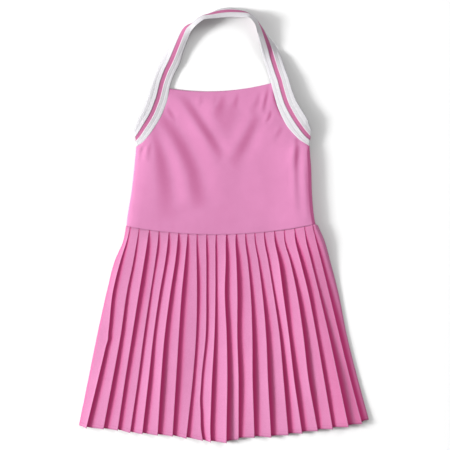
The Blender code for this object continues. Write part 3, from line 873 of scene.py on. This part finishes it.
skirt_back = panel("skirt_back_cloth", back_skirt_grid(), BACK_PLEAT_WALL, twill, "skirt_back")


# ---- Halter trim: one doubled band of white rib with a pink stripe, sewn up the left armhole,
# carried over the neck and sewn down the right armhole. Over the neck it stands on its outer
# edge, and it ends at the side seams, over the ends of the back trim.
BAND_WALL = 1.5
BAND_STEP = 0.4          # face of the band over the bodice edge that it is sewn to
BAND_OVERLAP = 0.5       # how far the band covers that edge
ARMHOLE_SECTIONS = 60
LOOP_SECTIONS = 200
BAND_FACE_POINTS = 45
GROOVE_DEPTH = 0.7       # the stripe lies in a groove, between two ridges
GROOVE_SHOULDER = 1.0
RIDGE_HEIGHT = 0.35
RIDGE_WIDTH = 1.1
LINE_PLACE = 9.2         # a fine line this far on both sides of the middle
LINE_DEPTH = 0.4
LINE_WIDTH = 0.6
# The loop over the neck, from the left end of the neckline to the right end. The bow is how far
# the face crowns over the straight line between its two edges.
# outer_x, outer_y, outer_z, inner_x, inner_y, inner_z, bow
NECK_LOOP = (
    (-114.3, 229.0, 3.2, -88.0, 218.5, 4.0, 0.3),
    (-107.5, 248.5, 2.4, -80.5, 239.5, 4.4, 1.5),
    (-98.0, 268.5, 2.0, -71.0, 258.0, 5.6, 3.0),
    (-87.0, 287.0, 1.6, -65.0, 278.0, 7.5, 4.5),
    (-76.0, 305.0, 1.2, -57.8, 297.5, 11.5, 5.8),
    (-64.5, 315.5, 0.7, -53.2, 309.5, 16.5, 6.2),
    (-48.8, 319.0, 0.4, -47.4, 317.2, 20.5, 6.6),
    (-39.8, 326.6, 0.4, -38.6, 324.8, 20.5, 6.6),
    (-32.8, 331.6, 0.5, -31.0, 328.8, 20.0, 5.8),
    (-24.3, 337.2, 0.7, -22.0, 329.5, 19.5, 4.6),
    (-15.8, 342.9, 0.8, -14.0, 330.0, 18.0, 3.8),
    (-4.5, 347.0, 0.9, -4.0, 331.0, 17.0, 3.4),
    (9.0, 348.0, 0.9, 8.0, 332.0, 17.0, 3.4),
    (21.5, 345.5, 0.8, 20.0, 332.5, 18.0, 3.8),
    (32.0, 340.0, 0.7, 30.0, 332.5, 19.5, 5.2),
    (39.8, 333.5, 2.0, 38.9, 332.0, 21.5, 5.6),
    (47.0, 327.0, 0.4, 46.2, 325.8, 22.0, 5.6),
    (56.0, 318.6, 0.4, 50.8, 317.5, 20.5, 4.6),
    (65.5, 309.1, 0.6, 53.4, 307.0, 18.0, 4.2),
    (75.0, 297.5, 0.8, 56.5, 292.0, 15.0, 4.0),
    (84.0, 285.0, 1.6, 60.0, 276.0, 10.5, 3.0),
    (90.8, 269.0, 7.5, 64.5, 260.0, 6.0, 2.0),
    (97.0, 250.0, 10.5, 70.5, 241.0, 4.2, 1.0),
    (103.2, 233.0, 12.5, 75.0, 227.0, 4.8, 0.3),
)


def armhole_band(armhole):
    """Band sections along an armhole, as in the loop's table: the inner edge laps over the
    edge of the bodice, a step higher."""
    rows = table_rows(armhole, ARMHOLE_SECTIONS)
    sewn_x, sewn_y, sewn_z, outer_x, outer_y, outer_z = rows.T
    share = -BAND_OVERLAP / np.hypot(outer_x - sewn_x, outer_y - sewn_y)
    inner_x = sewn_x + (outer_x - sewn_x) * share
    inner_y = sewn_y + (outer_y - sewn_y) * share
    bow = np.full_like(sewn_z, NECK_LOOP[0][-1])
    return np.column_stack([outer_x, outer_y, outer_z, inner_x, inner_y, sewn_z + BAND_STEP, bow])


def rib_relief(from_middle):
    """Height of the outer face over its smooth form: the groove of the stripe with a smooth
    step at each side, a ridge beside it and a fine line further out, both bell curves."""
    away = np.abs(from_middle)
    out_of_groove = smooth_step((away - STRIPE_WIDTH / 2) / GROOVE_SHOULDER + 0.5)
    groove = GROOVE_DEPTH * (1 - out_of_groove)
    ridge_place = STRIPE_WIDTH / 2 + GROOVE_SHOULDER
    ridge = RIDGE_HEIGHT * np.exp(-(((away - ridge_place) / RIDGE_WIDTH) ** 2))
    line = LINE_DEPTH * np.exp(-(((away - LINE_PLACE) / LINE_WIDTH) ** 2))
    return ridge - groove - line


def band_rings():
    """The band as closed rings, with their widths: an outer face from outer to inner edge, and an
    inner face one wall below it, which meet in rounded edges. The crown, a parabola, and the
    wall and the relief are laid off square to the chord, in the plane across the band's path."""
    loop = table_rows(NECK_LOOP, LOOP_SECTIONS)[1:-1]
    sections = np.vstack([armhole_band(LEFT_ARMHOLE), loop, armhole_band(RIGHT_ARMHOLE)[::-1]])
    outer = sections[:, None, 0:3]
    chord = sections[:, None, 3:6] - outer
    bow = sections[:, None, 6:7]
    length = np.linalg.norm(chord, axis=-1, keepdims=True)
    path = np.gradient((sections[:, 0:2] + sections[:, 3:5]) / 2, axis=0)
    path /= np.linalg.norm(path, axis=1, keepdims=True)
    heading = np.column_stack([path[:, 1], -path[:, 0]])[:, None, :]
    lean = np.sum(chord[..., :2] * heading, axis=-1, keepdims=True)
    outwards = np.concatenate([-heading * chord[..., 2:3], lean], axis=-1) / length
    part = np.linspace(0, 1, BAND_FACE_POINTS)[None, :, None]
    face = outer + chord * part + outwards * bow * 4 * part * (1 - part)
    to_edge = np.minimum(part, 1 - part) * length
    drop = BAND_WALL / 2 * (1 - quarter_round(to_edge, BAND_WALL))
    relief = rib_relief((part - 0.5) * length) * np.minimum(to_edge / BAND_WALL, 1)
    top = face - outwards * (drop - relief)
    bottom = face - outwards * (BAND_WALL - drop)
    return np.concatenate([top, bottom[:, ::-1]], axis=1), length[:, 0, 0]


def band_mesh(finish):
    """Rings joined into a closed band with a cap at each end, and the band's length. The cloth's
    lengths run along it and, on both faces, from one edge to the other, with 0 in the middle,
    so that the stripe is knitted right through."""
    rings, width = band_rings()
    sections, around = rings.shape[:2]
    middle = rings[:, :BAND_FACE_POINTS].mean(axis=1)
    along = np.concatenate([[0.0], np.cumsum(np.linalg.norm(np.diff(middle, axis=0), axis=1))])
    part = np.linspace(0, 1, BAND_FACE_POINTS)
    part = np.concatenate([part, part[::-1]])[None, :]
    from_middle = (part - 0.5) * width[:, None]
    lengths = np.stack([along[:, None] * np.ones_like(from_middle), from_middle], axis=-1)
    number = np.arange(sections * around).reshape(sections, around)
    beside = np.roll(number, -1, axis=1)
    sides = np.stack([number[:-1], number[1:], beside[1:], beside[:-1]], axis=-1).reshape(-1, 4)
    low = np.arange(BAND_FACE_POINTS - 1)
    high = around - 1 - low
    first = np.stack([number[0, at] for at in (low, low + 1, high - 1, high)], axis=-1)
    last = np.stack([number[-1, at] for at in (low, high, high - 1, low + 1)], axis=-1)
    faces = np.vstack([sides, first, last])
    return mesh_of("halter_trim_rib", rings, faces, lengths, finish), along[-1]


front_rib = ribbed_trim("white_rib", 0.0)
halter_trim, band_length = band_mesh(front_rib)
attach(halter_trim, "root")
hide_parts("halter_trim")


# ---- Table: a wide matt white sheet just under the dress
TABLE_SIZE = 8000.0
TABLE_Z = -0.2
bpy.ops.mesh.primitive_plane_add(size=TABLE_SIZE * MM, location=(0, 0, TABLE_Z * MM))
table = bpy.context.object
table.name = "table"
paper = Finish(
    "white_table", Roughness=0.9, Specular_IOR_Level=0.0, Base_Color=(0.69, 0.69, 0.69, 1)
)
table.data.materials.append(paper.material)


# ---- Light: a low lamp at the left that throws the shadows, a broad glow behind it that softens
# them, a broad weak lamp past the neck at the right, and a white room
ROOM_STRENGTH = 0.48


def disk_lamp(name, azimuth, elevation, distance, width, power):
    """A round lamp that shines at the origin: degrees anticlockwise from +x and up, metres,
    watts."""
    bulb = bpy.data.lights.new(name, "AREA")
    bulb.shape = "DISK"
    bulb.size = width
    bulb.energy = power
    turn, lean = np.radians(azimuth), np.radians(90 - elevation)
    lamp = bpy.data.objects.new(name, bulb)
    towards = np.array((np.sin(lean) * np.cos(turn), np.sin(lean) * np.sin(turn), np.cos(lean)))
    lamp.location = towards * distance
    lamp.rotation_euler = (0, lean, turn)
    scene.collection.objects.link(lamp)


disk_lamp("left lamp", azimuth=182, elevation=24, distance=5.0, width=1.17, power=391)
disk_lamp("left glow", azimuth=178, elevation=26, distance=12.0, width=8.0, power=820)
disk_lamp("neck lamp", azimuth=52, elevation=40, distance=12.0, width=6.0, power=560)
room = bpy.data.worlds.new("room")
room.use_nodes = True
room.node_tree.nodes["Background"].inputs["Color"].default_value = (1, 1, 1, 1)
room.node_tree.nodes["Background"].inputs["Strength"].default_value = ROOM_STRENGTH
scene.world = room
scene.view_settings.view_transform = "Standard"
